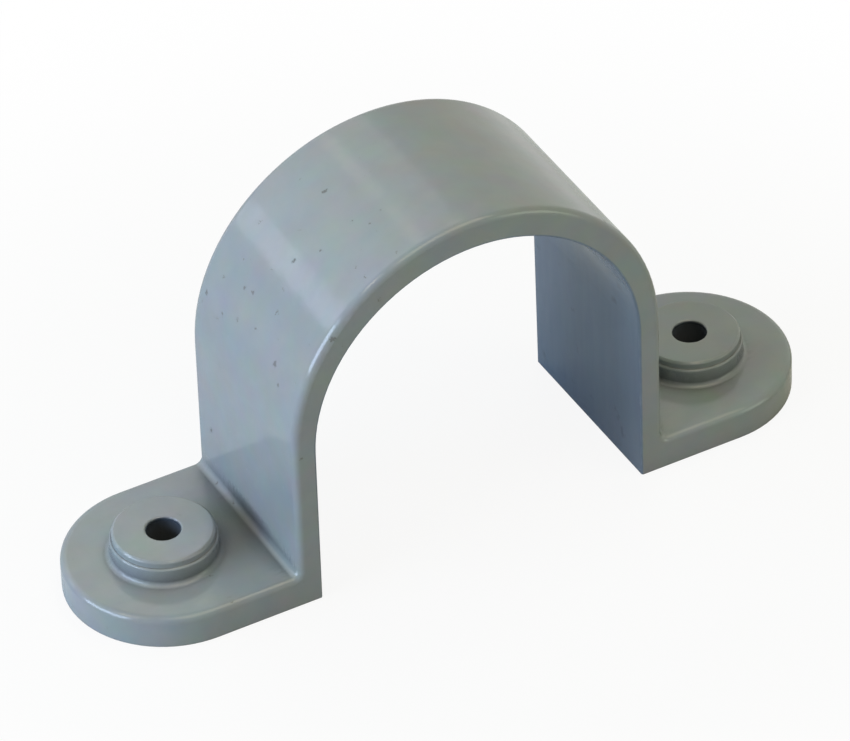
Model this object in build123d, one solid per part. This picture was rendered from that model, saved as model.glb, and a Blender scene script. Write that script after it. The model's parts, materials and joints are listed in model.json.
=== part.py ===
from build123d import *
import os
from math import cos, radians, tan

# Saddle clip for a 50 mm pipe or conduit: one rigid PVC moulding with an arch,
# two straight legs, and a round-ended foot with a screw boss on each side.
# Millimetres. X runs from foot to foot, Y along the pipe, Z away from the wall.
# The origin is the middle of the flat face that lies on the wall.

# The pipe and the strap round it
pipe_diameter = 50.0        # outside diameter of the pipe, which touches the wall
strap_width = 29.4          # along the pipe, the same for the arch, legs and feet
leg_wall = 3.4              # thickness of the straight legs
crown_wall = 4.4            # thickness at the top of the arch

# The feet, screwed to the wall
foot_thickness = 4.8
screw_hole_diameter = 4.8   # clearance for a 4.5 mm wood screw
hole_from_leg = 13.1        # from a leg's outer face to the middle of its screw hole
hole_to_tip = 14.3          # from the middle of a screw hole to the tip of the foot

# The two-tier boss round each screw hole
seat_diameter = 14.3        # upper tier, whose face takes the screw head
boss_height = 3.9           # from the foot's upper face to the screw head's seat
ledge_width = 0.35          # how far the lower tier stands out from the upper one
ledge_depth = 1.1           # from the seat down to the ledge between the tiers
seat_bevel = 0.3            # bevel of the rim round the seat
ledge_bevel = 0.2           # bevel of the rim round the ledge
boss_root_radius = 0.7      # rounding where the boss meets the foot

# Details of the moulding
edge_radius = 1.0           # rounding of the outer edges of the arch, legs and feet
leg_root_radius = 1.0       # rounding where a leg meets its foot
edge_break = 0.2            # bevel on the pipe seat's edges and the screw holes' mouths
draft_angle = 0.3           # degrees that legs and bosses lean, to leave the mould

# Places that follow from the sizes above
pipe_radius = pipe_diameter / 2
pipe_centre_height = pipe_radius
outer_radius = pipe_radius + leg_wall
outer_centre_height = pipe_centre_height + crown_wall - leg_wall
overall_height = outer_centre_height + outer_radius
hole_x = outer_radius + hole_from_leg
overall_length = 2 * (hole_x + hole_to_tip)
seat_height = foot_thickness + boss_height
ledge_height = seat_height - ledge_depth
draft_slope = tan(radians(draft_angle))


def arch_block(radius, centre_height, width):
    """A solid arch: a half-round top whose straight sides spread towards the wall."""
    width_at_wall = 2 * (radius / cos(radians(draft_angle)) + centre_height * draft_slope)
    with BuildSketch(Plane.XZ) as profile:
        with BuildLine():
            top = CenterArc((0, centre_height), radius, draft_angle, 180 - 2 * draft_angle)
            Polyline(top @ 1, (-width_at_wall / 2, 0), (width_at_wall / 2, 0), top @ 0)
        make_face()
    return extrude(profile.sketch, amount=width / 2, both=True)


def outer_form():
    """Arch and feet as one block, with their roots and outer edges rounded."""
    strap = arch_block(outer_radius, outer_centre_height, strap_width)
    feet = extrude(SlotOverall(overall_length, strap_width), amount=foot_thickness)
    block = strap + feet

    leg_roots = block.edges().filter_by(Axis.Y).filter_by_position(
        Axis.Z, foot_thickness - leg_root_radius, foot_thickness + leg_root_radius
    )
    block = fillet(leg_roots, leg_root_radius)

    clear_of_wall = block.edges().filter_by(
        lambda edge: edge.bounding_box().min.Z > foot_thickness / 2
    )
    return fillet(clear_of_wall - block.edges().filter_by(Axis.Y), edge_radius)


def cut_pipe_seat(block):
    """Opens the block for the pipe and bevels the two edges of the seat."""
    opening = arch_block(pipe_radius, pipe_centre_height, 2 * strap_width)
    block -= opening
    rims = block.edges().filter_by(lambda edge: opening.solid().is_inside(edge @ 0.5))
    return chamfer(rims - block.edges().filter_by(Axis.Y), edge_break)


def boss():
    """Both tiers, turned about the screw's axis, with their root inside the foot."""
    seat_radius = seat_diameter / 2
    ledge_radius = seat_radius + ledge_depth * draft_slope
    tier_radius = seat_radius + ledge_width
    root_height = foot_thickness / 2
    root_radius = tier_radius + (ledge_height - root_height) * draft_slope
    with BuildSketch(Plane.XZ) as half_section:
        with BuildLine():
            Polyline(
                (0, root_height),
                (root_radius, root_height),
                (tier_radius, ledge_height),
                (ledge_radius, ledge_height),
                (seat_radius, seat_height),
                (0, seat_height),
                close=True,
            )
        make_face()
        rims = half_section.vertices()
        chamfer(rims.sort_by_distance((seat_radius, seat_height))[0], seat_bevel)
        chamfer(rims.sort_by_distance((tier_radius, ledge_height))[0], ledge_bevel)
    return revolve(half_section.sketch, Axis.Z)


def saddle_clip():
    clip = cut_pipe_seat(outer_form())
    for x in (-hole_x, hole_x):
        clip += Pos(x, 0, 0) * boss()

    boss_roots = clip.edges().filter_by(GeomType.CIRCLE).filter_by(
        lambda edge: abs(edge.arc_center.Z - foot_thickness) < boss_root_radius
        and abs(edge.radius - seat_diameter / 2 - ledge_width) < boss_root_radius
    )
    clip = fillet(boss_roots, boss_root_radius)

    for x in (-hole_x, hole_x):
        clip -= Pos(x, 0, 0) * Cylinder(screw_hole_diameter / 2, 2 * overall_height)
    hole_mouths = clip.edges().filter_by(GeomType.CIRCLE).filter_by(
        lambda edge: abs(edge.arc_center.Z - seat_height) < edge_break
        and abs(edge.radius - screw_hole_diameter / 2) < edge_break
    )
    return chamfer(hole_mouths, edge_break)


os.makedirs("parts", exist_ok=True)
export_step(saddle_clip(), "parts/saddle_clip.step")
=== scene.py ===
# %% [markdown]
# A saddle clip holds a pipe or conduit to a wall. It is one moulding in grey PVC, so its shape is
# settled in CAD and nothing has to be put together here. The lesson gives that moulding the skin
# of real plastic, and then the paper, light and camera of a product photograph.

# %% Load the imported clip
import json
from math import cos, pi, radians, sin

import bmesh
import bpy
from mathutils import Matrix, Vector

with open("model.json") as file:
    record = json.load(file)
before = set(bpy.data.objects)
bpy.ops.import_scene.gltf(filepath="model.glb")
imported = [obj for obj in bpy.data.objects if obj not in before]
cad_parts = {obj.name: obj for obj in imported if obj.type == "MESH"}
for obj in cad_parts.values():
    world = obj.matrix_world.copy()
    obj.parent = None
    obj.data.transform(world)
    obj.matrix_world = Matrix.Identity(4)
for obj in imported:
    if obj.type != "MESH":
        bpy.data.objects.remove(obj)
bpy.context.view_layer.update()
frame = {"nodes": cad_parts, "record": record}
clip = frame["nodes"]["saddle_clip"]
scene = bpy.context.scene

# %% [markdown]
# Several marks on the plastic belong to one place, such as the inside of the arch or the walls of
# the screw holes. Those places are read from the clip's own mounts, and the top of the bosses from
# its mesh. They could be typed in as numbers, but then the finish would be left behind when a size
# changes in CAD.

# %% Measure the clip
mm = 0.001
mounts = {mount["name"]: mount for mount in frame["record"]["mounts"]}
pipe_radius = mounts["pipe_seat"]["dims"]["r_mm"] * mm
pipe_middle = Vector(mounts["pipe_seat"]["pos_m"])
hole_x = mounts["screw_holes"]["dims"]["spacing_x_mm"] * mm / 2
hole_radius = mounts["screw_holes"]["dims"]["hole_r_mm"] * mm
boss_top = max(vertex.co.z for vertex in clip.data.vertices if abs(vertex.co.x) > hole_x)
print("pipe seat radius", round(pipe_radius / mm, 1), "mm, holes at x =", round(hole_x / mm, 1), "mm")
print("bosses up to", round(boss_top / mm, 1), "mm")

# %% [markdown]
# A shader node is made, set and wired in one call by the helper below, which takes a node tree,
# the kind of node, and a value or a link for each input. The same could be built by hand in the
# shader editor, but a call per node keeps each effect short enough to read as a sentence.


# %% A helper for shader nodes
def add_node(tree, kind, inputs=None, **settings):
    node = tree.nodes.new("ShaderNode" + kind)
    for name, value in settings.items():
        setattr(node, name, value)
    for name, value in (inputs or {}).items():
        if isinstance(value, bpy.types.NodeSocket):
            tree.links.new(value, node.inputs[name])
        else:
            node.inputs[name].default_value = value
    return node


def empty_material(name):
    material = bpy.data.materials.new(name)
    material.use_nodes = True
    material.node_tree.nodes.clear()
    return material


print("helpers ready: add_node, empty_material")

# %% [markdown]
# Most effects need a little arithmetic on masks, and a texture sampled at a size given in
# millimetres. These helpers name both. Noise could be scaled by trial and error, but a size in
# millimetres can be compared with the real plastic under a rule. The numbers in the tint helper are
# the places of the Mix node's colour sockets, which share their names with its other sockets.


# %% Helpers for masks and textures
def arithmetic(tree, operation, first, second=0.0):
    return add_node(tree, "Math", {0: first, 1: second}, operation=operation).outputs[0]


def ramp(tree, value, start, end, low=0.0, high=1.0):
    limits = {"From Min": start, "From Max": end, "To Min": low, "To Max": high}
    node = add_node(tree, "MapRange", {"Value": value, **limits}, interpolation_type="SMOOTHSTEP")
    return node.outputs["Result"]


def noise(tree, place, size_mm, detail=2.0, output="Fac"):
    settings = {"Vector": place, "Scale": 1 / (size_mm * mm), "Detail": detail}
    return add_node(tree, "TexNoise", settings).outputs[output]


def stretched(tree, place, x, y, z):
    return add_node(tree, "Mapping", {"Vector": place, "Scale": (x, y, z)}).outputs["Vector"]


def tint(tree, amount, colour, other, blend="MIX"):
    inputs = {0: amount, 6: colour, 7: other}
    return add_node(tree, "Mix", inputs, data_type="RGBA", blend_type=blend).outputs[2]


def scaled(tree, mask, strength):
    return arithmetic(tree, "MULTIPLY", mask, strength)


print("helpers ready: arithmetic, ramp, noise, stretched, tint, scaled")

# %% [markdown]
# Rigid PVC is coloured in the mass, so its grey goes right through. The pigment is never mixed
# quite evenly: the grey drifts towards blue, green or pink over several millimetres. A noise
# texture whose three colour channels differ gives that drift, and it is kept weak.

# %% Colour of the plastic
pvc_colour = (0.25, 0.28, 0.285, 1)
drift_size = 5.0
drift_strength = 0.04
grey_pvc = empty_material("grey_pvc")
tree = grey_pvc.node_tree
place = add_node(tree, "TexCoord").outputs["Object"]

hue_drift = noise(tree, place, drift_size, detail=4.0, output="Color")
colour = tint(tree, drift_strength, pvc_colour, hue_drift, blend="LINEAR_LIGHT")
print("PVC colour", pvc_colour[:3], "drifts over", drift_size, "mm")

# %% [markdown]
# Light barely gets into a narrow screw hole, so its walls are painted nearly black as painted shade.
# A mask of the distance from each hole's axis finds the walls, so no second material and no cut in
# the mesh is needed.

# %% Painted shade in the screw holes
hole_shade_colour = (0.055, 0.068, 0.085, 1)
shade_full_radius = hole_radius + 0.02 * mm
shade_edge_radius = hole_radius + 0.12 * mm
across = add_node(tree, "SeparateXYZ", {"Vector": place}).outputs
x, y, z = across["X"], across["Y"], across["Z"]
from_hole_x = arithmetic(tree, "SUBTRACT", arithmetic(tree, "ABSOLUTE", x), hole_x)
from_hole_vector = add_node(tree, "CombineXYZ", {"X": from_hole_x, "Y": y}).outputs["Vector"]
from_hole = add_node(tree, "VectorMath", {0: from_hole_vector}, operation="LENGTH").outputs["Value"]
in_hole = ramp(tree, from_hole, shade_edge_radius, shade_full_radius)
# painted shade: the hole walls are darkened nearly to black
colour = tint(tree, in_hole, colour, hole_shade_colour)
print("hole dirt reaches", round(shade_edge_radius / mm, 2), "mm from the axis")

# %% [markdown]
# Small dark specks sit in the skin, most of them on the left half and fewest on the feet. A Voronoi
# texture gives one point to each cell, and a small ball round each point cuts the surface as a
# speck. Its size is a share of the cell, with a chance of its own, so many cells have none. The
# noise added to the place first makes the specks ragged, since real dirt isn't round. A painted
# mask could put each speck where it is wanted, but it would need an image.

# %% Specks
speck_spacing = 2.4
speck_size = 0.19
speck_strength = 0.65
speck_colour = (0.075, 0.07, 0.06, 1)
raggedness = noise(tree, place, 0.35, detail=1.0, output="Color")
centred = add_node(tree, "VectorMath", {0: raggedness, 1: (0.5, 0.5, 0.5)}, operation="SUBTRACT")
shift = {0: centred.outputs["Vector"], "Scale": 1.0 * mm}
shaken = add_node(tree, "VectorMath", shift, operation="SCALE")
ragged_place = add_node(tree, "VectorMath", {0: place, 1: shaken.outputs["Vector"]})
cells = {"Vector": ragged_place.outputs["Vector"], "Scale": 1 / (speck_spacing * mm)}
speck_cells = add_node(tree, "TexVoronoi", cells)
cell_colour = add_node(tree, "SeparateColor", {"Color": speck_cells.outputs["Color"]})
speck_chance = cell_colour.outputs["Red"]
dusty_side = ramp(tree, x, 10 * mm, -24 * mm, 0.25, 1.0)
above_foot = ramp(tree, z, 5 * mm, 14 * mm, 0.6, 1.0)
dustiness = arithmetic(tree, "MULTIPLY", dusty_side, above_foot)
speck_share = arithmetic(tree, "MULTIPLY", speck_chance, dustiness)
this_speck = scaled(tree, speck_share, speck_size)
inside_speck = arithmetic(tree, "SUBTRACT", this_speck, speck_cells.outputs["Distance"])
speck = ramp(tree, inside_speck, -0.02, 0.05)
colour = tint(tree, scaled(tree, speck, speck_strength), colour, speck_colour)
print("one speck or none in each", speck_spacing, "mm cell")

# %% [markdown]
# The inside of the arch is painted a deeper, bluer grey than the outside, as painted shade for the
# blue shadow it lies in. The steel core that shapes it is drawn out downwards and drags the skin with
# it, which leaves faint upright streaks. They could be a wave texture, but that is too regular. Noise
# stretched along Z is better, held to the inside by the distance from the pipe's axis. A coarser
# noise adds the few dark smudges that a dusty pipe leaves there.

# %% Painted shade, drag marks and smudges inside
inside_painted_shade = (0.10, 0.155, 0.23, 1)
drag_colour = (0.36, 0.40, 0.42, 1)
smudge_colour = (0.04, 0.055, 0.07, 1)
wall_skin = pipe_radius + 0.2 * mm
wall_depth = pipe_radius + 0.4 * mm
from_pipe = add_node(tree, "VectorMath", {0: place, 1: pipe_middle}, operation="SUBTRACT")
flattened = {0: from_pipe.outputs["Vector"], 1: (1, 0, 1)}
round_pipe = add_node(tree, "VectorMath", flattened, operation="MULTIPLY")
to_axis = add_node(tree, "VectorMath", {0: round_pipe.outputs["Vector"]}, operation="LENGTH")
arch_inside = ramp(tree, to_axis.outputs["Value"], wall_depth, wall_skin)
between_legs = ramp(tree, arithmetic(tree, "ABSOLUTE", x), wall_depth, wall_skin)
below_arch = ramp(tree, z, pipe_middle.z + 0.1 * mm, pipe_middle.z)
leg_inside = arithmetic(tree, "MULTIPLY", between_legs, below_arch)
either_inside = arithmetic(tree, "MAXIMUM", arch_inside, leg_inside)
core_side = arithmetic(tree, "MINIMUM", 1.0, either_inside)
# painted shade: the inside of the arch and legs is darkened and blued
colour = tint(tree, scaled(tree, core_side, 0.75), colour, inside_painted_shade)
drag = noise(tree, stretched(tree, place, 1.0, 1.0, 0.12), 1.3, detail=4.0)
drag_mark = arithmetic(tree, "MULTIPLY", core_side, ramp(tree, drag, 0.35, 0.7))
colour = tint(tree, scaled(tree, drag_mark, 0.04), colour, drag_colour)
smudge = ramp(tree, noise(tree, place, 4.0, detail=6.0), 0.63, 0.75)
smudge_inside = arithmetic(tree, "MULTIPLY", core_side, smudge)
colour = tint(tree, scaled(tree, smudge_inside, 0.4), colour, smudge_colour)
print("inside marks within", round(wall_depth / mm, 1), "mm of the pipe's middle")

# %% [markdown]
# The corners, at the roots of the bosses and of the legs, are painted darker as painted shade, and
# the pocket between a boss and its leg gets a deeper painted shadow. The Ambient Occlusion node tells
# how closed in each point is: over a short reach it finds the corners, and over a long one the
# pocket. The painted shadow in the pocket stops at the height of the boss. Painted faces could do all
# this too, but they would have to be redone after a change in CAD.


# %% Painted shade in the corners and pockets
def closed_in(tree, reach, open_share, closed_share):
    node = add_node(tree, "AmbientOcclusion", {"Distance": reach}, samples=12, only_local=True)
    return ramp(tree, node.outputs["AO"], open_share, closed_share)


corner_reach = 1.5 * mm
pocket_reach = 7.0 * mm
pocket_fade = 2 * mm
corner_shade_colour = (0.12, 0.125, 0.12, 1)
pocket_shade_colour = (0.05, 0.057, 0.064, 1)
corner = closed_in(tree, corner_reach, 0.92, 0.5)
below_boss_top = ramp(tree, z, boss_top, boss_top - pocket_fade)
pocket = arithmetic(tree, "MULTIPLY", closed_in(tree, pocket_reach, 0.75, 0.5), below_boss_top)
# painted shade: corners and pockets are darkened by how closed in they are
colour = tint(tree, scaled(tree, corner, 0.5), colour, corner_shade_colour)
colour = tint(tree, scaled(tree, pocket, 0.75), colour, pocket_shade_colour)
corner_and_pocket_shade = arithmetic(tree, "MAXIMUM", corner, pocket)
reaches = [round(reach / mm, 1) for reach in (corner_reach, pocket_reach)]
print("dust reach in corners and pockets, in mm:", reaches)

# %% [markdown]
# Sharp edges are rubbed pale in the box and in the hand. The Bevel node rounds the normal near an
# edge, so where it differs from the true normal there is an edge. It is chosen over pointiness,
# which needs many small faces, because a CAD mesh has large flat ones.

# %% Rubbed edges
edge_width = 0.35 * mm
rubbed_colour = (0.42, 0.45, 0.44, 1)
rounded = add_node(tree, "Bevel", {"Radius": edge_width}, samples=6)
true_normal = add_node(tree, "NewGeometry").outputs["Normal"]
normals = {0: rounded.outputs["Normal"], 1: true_normal}
agreement = add_node(tree, "VectorMath", normals, operation="DOT_PRODUCT")
rub_strength = ramp(tree, noise(tree, place, 2.2, detail=4.0), 0.35, 0.65)
edge_mask = ramp(tree, agreement.outputs["Value"], 0.995, 0.9)
rubbed = arithmetic(tree, "MULTIPLY", edge_mask, rub_strength)
colour = tint(tree, scaled(tree, rubbed, 0.3), colour, rubbed_colour)
print("edges rubbed over", round(edge_width / mm, 2), "mm")

# %% [markdown]
# A mould's polish is never perfect. The gloss is a little duller in patches, and duller still on
# specks, drag marks, rubbed edges, and in the corners and pockets that carry painted shade. Fine
# polishing strokes run round the arch and fray the edge of a highlight. They are noise that is short
# along Y and long the other two ways. All of this is roughness, which blurs what the plastic mirrors
# and leaves its colour alone.

# %% Gloss
polished = 0.125
duller = polished + 0.045
roughness = ramp(tree, noise(tree, place, 9.0, detail=4.0), 0.3, 0.7, polished, duller)
for mark, extra in ((drag_mark, 0.02), (rubbed, 0.12), (speck, 0.35), (corner_and_pocket_shade, 0.6)):
    roughness = arithmetic(tree, "ADD", roughness, scaled(tree, mark, extra))
strokes = noise(tree, stretched(tree, place, 0.15, 1.0, 0.15), 0.45, detail=3.0)
roughness = arithmetic(tree, "ADD", roughness, ramp(tree, strokes, 0.4, 0.65, -0.02, 0.06))
print("roughness of the bare skin from", polished, "to", duller)

# %% [markdown]
# The skin also sinks and swells by about a hundredth of a millimetre as it cools, which makes the
# edges of a reflection waver. On that lie a fine grain from the steel, the drag marks, and the
# specks, which stand slightly proud. All are heights in millimetres, added up and given to one Bump
# node. A Bevel node first softens the corners, as even a small bevel in a mould has no sharp rim.

# %% Waves, grain and relief
soft_edge = 0.3 * mm
wave_height = 0.055
grain_height = 0.0012
streak_height = 0.001
speck_height = 0.01
relief = scaled(tree, noise(tree, place, 4.5), wave_height)
grain = noise(tree, place, 0.28)
for mark, height in ((grain, grain_height), (drag_mark, streak_height), (speck, speck_height)):
    relief = arithmetic(tree, "ADD", relief, scaled(tree, mark, height))
softened = add_node(tree, "Bevel", {"Radius": soft_edge}, samples=6).outputs["Normal"]
surface = {"Height": relief, "Strength": 1.0, "Distance": mm, "Normal": softened}
skin = add_node(tree, "Bump", surface)
print("waves", wave_height, "mm, grain", grain_height, "mm")

# %% [markdown]
# All of it meets in one Principled shader with the refractive index of PVC. The clip keeps its
# CAD mesh, since its shape is right, and only its material slot changes.

# %% The finished PVC
pvc_index = 1.5
finish = {"Base Color": colour, "Roughness": roughness, "Normal": skin.outputs["Normal"]}
pvc = add_node(tree, "BsdfPrincipled", {**finish, "IOR": pvc_index})
add_node(tree, "OutputMaterial", {"Surface": pvc.outputs["BSDF"]})
for slot in clip.material_slots:
    slot.material = grey_pvc
print("clip has", len(clip.material_slots), "material slot and", len(tree.nodes), "nodes")

# %% [markdown]
# The clip lies on a sheet of white paper, which is one flat square. It lies a hair below the feet,
# so that the two faces don't fight for the same place.

# %% Sheet of paper
paper_size = 6.0
paper_drop = 0.05 * mm
sheet = bmesh.new()
bmesh.ops.create_grid(sheet, x_segments=1, y_segments=1, size=paper_size / 2)
bmesh.ops.translate(sheet, vec=(0, 0, -paper_drop), verts=sheet.verts)
paper_mesh = bpy.data.meshes.new("paper")
sheet.to_mesh(paper_mesh)
sheet.free()
paper = bpy.data.objects.new("paper", paper_mesh)
scene.collection.objects.link(paper)
print("paper", paper_size, "m wide,", len(paper_mesh.polygons), "face")

# %% [markdown]
# Product photographs have a background of pure white. More light would give that, and would bleach
# the clip too. Instead the paper glows white for the camera, and its far part also for what the
# plastic mirrors. It stays plain paper for the light itself. Round the clip the glow is a little
# weaker, so that the clip's shadow stays on the paper.

# %% White background that keeps the shadow
paper_colour = (0.8, 0.8, 0.8, 1)
pure_white = (1, 1, 1, 1)
glow_near_clip = 0.90
white_paper = empty_material("white_paper")
tree = white_paper.node_tree
seen_by = add_node(tree, "LightPath").outputs
place = add_node(tree, "TexCoord").outputs["Object"]
from_middle = add_node(tree, "VectorMath", {0: place}, operation="LENGTH").outputs["Value"]
glow_share = ramp(tree, from_middle, 0.05, 0.13, glow_near_clip, 1.0)
to_camera = arithmetic(tree, "MULTIPLY", seen_by["Is Camera Ray"], glow_share)
mirror_share = ramp(tree, from_middle, 0.08, 0.18)
mirror_ray, glass_ray = seen_by["Is Glossy Ray"], seen_by["Is Transmission Ray"]
mirror_or_glass = arithmetic(tree, "MAXIMUM", mirror_ray, glass_ray)
to_mirror = arithmetic(tree, "MULTIPLY", mirror_or_glass, mirror_share)
glow_part = arithmetic(tree, "MAXIMUM", to_camera, to_mirror)
matt = add_node(tree, "BsdfDiffuse", {"Color": paper_colour})
glow = add_node(tree, "Emission", {"Color": pure_white, "Strength": 1.0})
mixed = add_node(tree, "MixShader", {"Fac": glow_part})
tree.links.new(matt.outputs["BSDF"], mixed.inputs[1])
tree.links.new(glow.outputs["Emission"], mixed.inputs[2])
add_node(tree, "OutputMaterial", {"Surface": mixed.outputs["Shader"]})
paper_mesh.materials.append(white_paper)
print("paper glow near the clip", glow_near_clip, "and farther out 1.0")

# %% [markdown]
# The world is the white room round the table. Camera, mirror and see-through rays find it white.
# It sends little light to the clip, because an even light from all sides would wash out the
# shadows that show the clip's steps.

# %% The white room
ambient = 0.01
world = bpy.data.worlds.new("studio")
world.use_nodes = True
world.node_tree.nodes.clear()
scene.world = world
tree = world.node_tree
seen_by = add_node(tree, "LightPath").outputs
camera_or_mirror = arithmetic(tree, "MAXIMUM", seen_by["Is Camera Ray"], seen_by["Is Glossy Ray"])
any_of_three = arithmetic(tree, "MAXIMUM", camera_or_mirror, seen_by["Is Transmission Ray"])
strength = ramp(tree, any_of_three, 0.0, 1.0, ambient, 1.0)
background = add_node(tree, "Background", {"Color": pure_white, "Strength": strength})
add_node(tree, "OutputWorld", {"Surface": background.outputs["Background"]})
scene.view_settings.view_transform = "Standard"
print("ambient light", ambient)

# %% [markdown]
# Daylight comes from a window on the left, broad and blue below, small and warm above, where it
# casts the sharper shadows. The ceiling and a wall behind the camera send warm light from the front,
# and a fill and a pale wall do it from behind. The fill is hidden from reflections, where it would
# leave a spot. Each is a panel lamp on a dome round the clip. Its brightness is given as the light
# that one point of the panel sends out, so that a panel can change in size without a change in how
# bright its reflection is. Sun lamps would need no sizes, but they have nothing to mirror.


# %% Panel lamps
lamp_distance = 0.7
dome_middle = Vector((0, 0, 0.02))


def panel_lamp(name, azimuth, elevation, width, height, colour):
    """A panel that faces the clip; colour is its radiance, red, green and blue."""
    direction = Vector((
        cos(radians(azimuth)) * cos(radians(elevation)),
        sin(radians(azimuth)) * cos(radians(elevation)),
        sin(radians(elevation)),
    ))
    brightest = max(colour)
    data = bpy.data.lights.new(name, "AREA")
    data.shape = "RECTANGLE"
    data.size = width
    data.size_y = height
    data.color = [channel / brightest for channel in colour]
    data.energy = pi * width * height * brightest
    lamp = bpy.data.objects.new(name, data)
    lamp.location = dome_middle + direction * lamp_distance
    lamp.rotation_euler = direction.to_track_quat("Z", "Y").to_euler()
    lamp.visible_camera = False
    scene.collection.objects.link(lamp)
    return lamp


panel_lamp("window_low", 178, 18, 0.56, 0.33, (5.7, 7.1, 9.4))
panel_lamp("window_high", 185, 55, 0.18, 0.11, (8.0, 7.4, 5.7))
panel_lamp("room_ceiling", 288, 66, 0.60, 0.40, (2.45, 2.15, 1.55))
panel_lamp("room_wall", 312, 12, 0.32, 0.30, (1.9, 2.2, 1.7))
back_fill = panel_lamp("back_fill", 45, 62, 0.30, 0.30, (3.2, 3.6, 3.1))
back_fill.visible_glossy = False
panel_lamp("back_wall", 102, 38, 0.70, 0.30, (0.75, 0.77, 0.77))

# %% [markdown]
# Two narrow panels behind the clip draw the upright streaks of light on the arch. On a half-round
# arch a panel's mirror image shrinks to a streak, and its place follows from the panel's height
# and bearing. The streaks could be painted, but then they would stay put when the view changes.

# %% Streak lamps
panel_lamp("left_streak", 133.2, 20.5, 0.13, 0.13, (2.0, 2.05, 2.5))
panel_lamp("top_streak", 91, 46.3, 0.055, 0.20, (0.75, 0.72, 0.45))
print("streak lamps ready")

# %% [markdown]
# The camera looks down on the clip from its left front with a long lens, as the photograph does.
# Its place is given by bearing, height angle and distance. The lens and distance together were
# found by matching the clip's corners to the photograph.

# %% Camera
camera_azimuth = radians(-27.522)
camera_elevation = radians(38.927)
camera_roll = radians(-2.235)
camera_distance = 0.93912
aim_right = 0.00041
aim_up = 0.000826
focal_length_mm = 290.46
sensor_width_mm = 36.0

backward = Vector((
    sin(camera_azimuth) * cos(camera_elevation),
    -cos(camera_azimuth) * cos(camera_elevation),
    sin(camera_elevation),
))
level_right = Vector((cos(camera_azimuth), sin(camera_azimuth), 0))
level_up = backward.cross(level_right)
image_right = level_right * cos(camera_roll) + level_up * sin(camera_roll)
image_up = level_up * cos(camera_roll) - level_right * sin(camera_roll)
aim = dome_middle - image_right * aim_right - image_up * aim_up
camera_place = aim + backward * camera_distance
camera = bpy.data.objects.new("camera", bpy.data.cameras.new("camera"))
camera.data.lens = focal_length_mm
camera.data.sensor_width = sensor_width_mm
turn = Matrix((image_right, image_up, backward)).transposed().to_4x4()
camera.matrix_world = Matrix.Translation(camera_place) @ turn
scene.collection.objects.link(camera)
scene.camera = camera
print("camera at", [round(value, 3) for value in camera_place])
